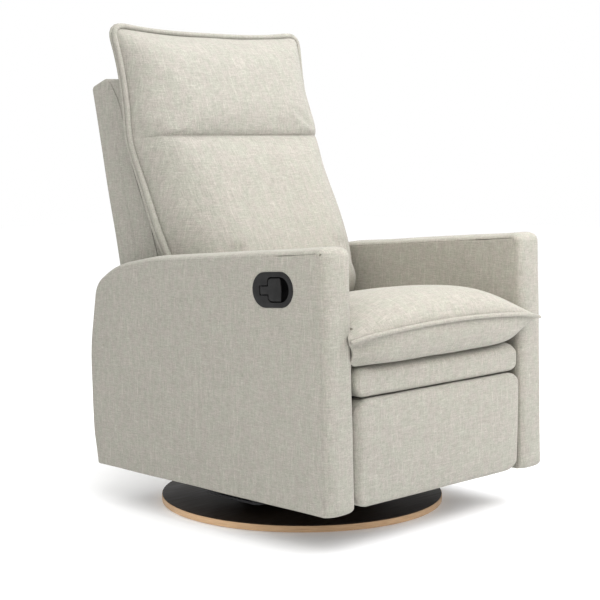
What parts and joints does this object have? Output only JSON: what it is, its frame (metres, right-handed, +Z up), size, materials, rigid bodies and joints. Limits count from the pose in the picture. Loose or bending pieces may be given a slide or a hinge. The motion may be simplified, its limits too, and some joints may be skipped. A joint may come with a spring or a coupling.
{
  "type": "swivel glider recliner chair",
  "caption": "Upholstered swivel glider armchair with pillow back, scissor footrest and recessed release handle on a round base.",
  "frame": {"origin": "where the swivel axis meets the floor, on the underside of the base's felt", "axes": "+Z up along the swivel axis, -Y the way the sitter faces, +X to the sitter's left"},
  "size_m": [0.7383, 0.9098, 1.126],
  "materials": {
    "linen_fabric": "woven linen look, matt",
    "frame_wood": "raw plywood",
    "oak_plywood": "satin lacquer edge",
    "dark_laminate": "satin",
    "dark_steel": "satin black",
    "black_plastic": "fine satin",
    "felt": "matt"
  },
  "bodies": {
    "base": {"floor_felt": "felt", "base_disc": "oak_plywood", "base_top_plate": "dark_laminate", "swivel_lower_ring": "dark_steel", "swivel_post": "dark_steel"},
    "carriage": {"swivel_upper_ring": "dark_steel", "carriage_plate": "dark_steel", "carriage_upright_left": "dark_steel", "carriage_upright_right": "dark_steel", "hanger_rod_front": "dark_steel", "hanger_rod_rear": "dark_steel"},
    "glide_link_rear_left": {"glide_link_rear_left": "dark_steel"},
    "glide_link_rear_right": {"glide_link_rear_right": "dark_steel"},
    "glide_link_front_left": {"glide_link_front_left": "dark_steel"},
    "glide_link_front_right": {"glide_link_front_right": "dark_steel"},
    "chassis": {"side_plate_left": "dark_steel", "side_plate_right": "dark_steel", "back_hinge_pin_left": "dark_steel", "back_hinge_pin_right": "dark_steel", "glide_rod_front": "dark_steel", "glide_rod_rear": "dark_steel", "front_cross_tube": "dark_steel", "seat_deck": "frame_wood", "arm_frame_left": "frame_wood", "arm_frame_right": "frame_wood", "arm_inner_pad_left": "linen_fabric", "arm_inner_pad_right": "linen_fabric", "arm_outer_pad_left": "linen_fabric", "arm_outer_pad_right": "linen_fabric", "seat_cushion": "linen_fabric", "rear_panel": "linen_fabric", "handle_bezel": "black_plastic", "handle_pin": "dark_steel", "handle_spring": "dark_steel", "release_cable": "black_plastic"},
    "handle": {"handle_paddle": "black_plastic"},
    "back": {"back_stile_left": "frame_wood", "back_stile_right": "frame_wood", "back_bottom_rail": "frame_wood", "back_top_rail": "frame_wood", "back_shell": "linen_fabric", "back_pillow_lumbar": "linen_fabric", "back_pillow_head": "linen_fabric"},
    "scissor_rear": {"drive_tube": "dark_steel", "scissor_rear_long_left": "dark_steel", "scissor_rear_long_right": "dark_steel"},
    "scissor_cross": {"scissor_cross_long_left": "dark_steel", "scissor_cross_long_right": "dark_steel"},
    "scissor_front": {"scissor_front_short_left": "dark_steel", "scissor_front_short_right": "dark_steel"},
    "scissor_front_cross": {"scissor_cross_short_left": "dark_steel", "scissor_cross_short_right": "dark_steel"},
    "footrest_roll": {"roll_board": "frame_wood", "roll_pad": "linen_fabric", "roll_bracket_left": "dark_steel", "roll_bracket_right": "dark_steel"},
    "footrest_panel": {"panel_board": "frame_wood", "panel_pad": "linen_fabric", "panel_bracket_left": "dark_steel", "panel_bracket_right": "dark_steel"}
  },
  "joints": [
    {"name": "swivel", "type": "hinge", "parent": "base", "child": "carriage", "pos_m": [0, 0, 0.03], "axis": [0, 0, 1], "continuous": true},
    {"name": "glide", "type": "hinge", "parent": "carriage", "child": "glide_link_rear_left", "pos_m": [0.2225, 0.11, 0.235], "axis": [1, 0, 0], "range_deg": [-20, 20]},
    {"name": "glide_rear_right", "type": "hinge", "parent": "carriage", "child": "glide_link_rear_right", "pos_m": [-0.2225, 0.11, 0.235], "axis": [1, 0, 0], "range_deg": [-21, 21]},
    {"name": "glide_front_left", "type": "hinge", "parent": "carriage", "child": "glide_link_front_left", "pos_m": [0.2225, -0.11, 0.235], "axis": [1, 0, 0], "range_deg": [-21, 21]},
    {"name": "glide_front_right", "type": "hinge", "parent": "carriage", "child": "glide_link_front_right", "pos_m": [-0.2225, -0.11, 0.235], "axis": [1, 0, 0], "range_deg": [-21, 21]},
    {"name": "chassis_level", "type": "hinge", "parent": "glide_link_rear_left", "child": "chassis", "pos_m": [0.2225, 0.11, 0.115], "axis": [1, 0, 0], "range_deg": [-21, 21]},
    {"name": "recline", "type": "hinge", "parent": "chassis", "child": "back", "pos_m": [0, 0.213, 0.41], "axis": [-1, 0, 0], "range_deg": [0, 30]},
    {"name": "handle", "type": "hinge", "parent": "chassis", "child": "handle", "pos_m": [-0.3653, -0.24211, 0.54685], "axis": [0, -0.075, -0.9972], "range_deg": [0, 35], "stiffness_Nm_per_rad": 0.4, "springref_deg": -11.46},
    {"name": "footrest", "type": "hinge", "parent": "chassis", "child": "scissor_rear", "pos_m": [0, -0.31, 0.36], "axis": [-1, 0, 0], "range_deg": [0, 63]},
    {"name": "scissor_crossing", "type": "hinge", "parent": "scissor_rear", "child": "scissor_cross", "pos_m": [0, -0.30791, 0.24002], "axis": [-1, 0, 0], "range_deg": [-127, 1]},
    {"name": "scissor_upper", "type": "hinge", "parent": "scissor_cross", "child": "scissor_front", "pos_m": [0, -0.3349, 0.35694], "axis": [-1, 0, 0], "range_deg": [-1, 127]},
    {"name": "scissor_lower", "type": "hinge", "parent": "scissor_rear", "child": "scissor_front_cross", "pos_m": [0, -0.30581, 0.12004], "axis": [-1, 0, 0], "range_deg": [-127, 1]},
    {"name": "roll_tilt", "type": "hinge", "parent": "scissor_front", "child": "footrest_roll", "pos_m": [0, -0.3349, 0.35694], "axis": [-1, 0, 0], "range_deg": [-1, 10]},
    {"name": "panel_tilt", "type": "hinge", "parent": "scissor_front", "child": "footrest_panel", "pos_m": [0, -0.33281, 0.23696], "axis": [-1, 0, 0], "range_deg": [-1, 10]}
  ],
  "couplings": [
    {"joint": "glide_rear_right", "follows": "glide", "ratio": 1},
    {"joint": "glide_front_left", "follows": "glide", "ratio": 1},
    {"joint": "glide_front_right", "follows": "glide", "ratio": 1},
    {"joint": "chassis_level", "follows": "glide", "ratio": -1},
    {"joint": "scissor_crossing", "follows": "footrest", "ratio": -2},
    {"joint": "scissor_upper", "follows": "footrest", "ratio": 2},
    {"joint": "scissor_lower", "follows": "footrest", "ratio": -2},
    {"joint": "roll_tilt", "follows": "footrest", "ratio": 0.14286},
    {"joint": "panel_tilt", "follows": "footrest", "ratio": 0.14286}
  ]
}
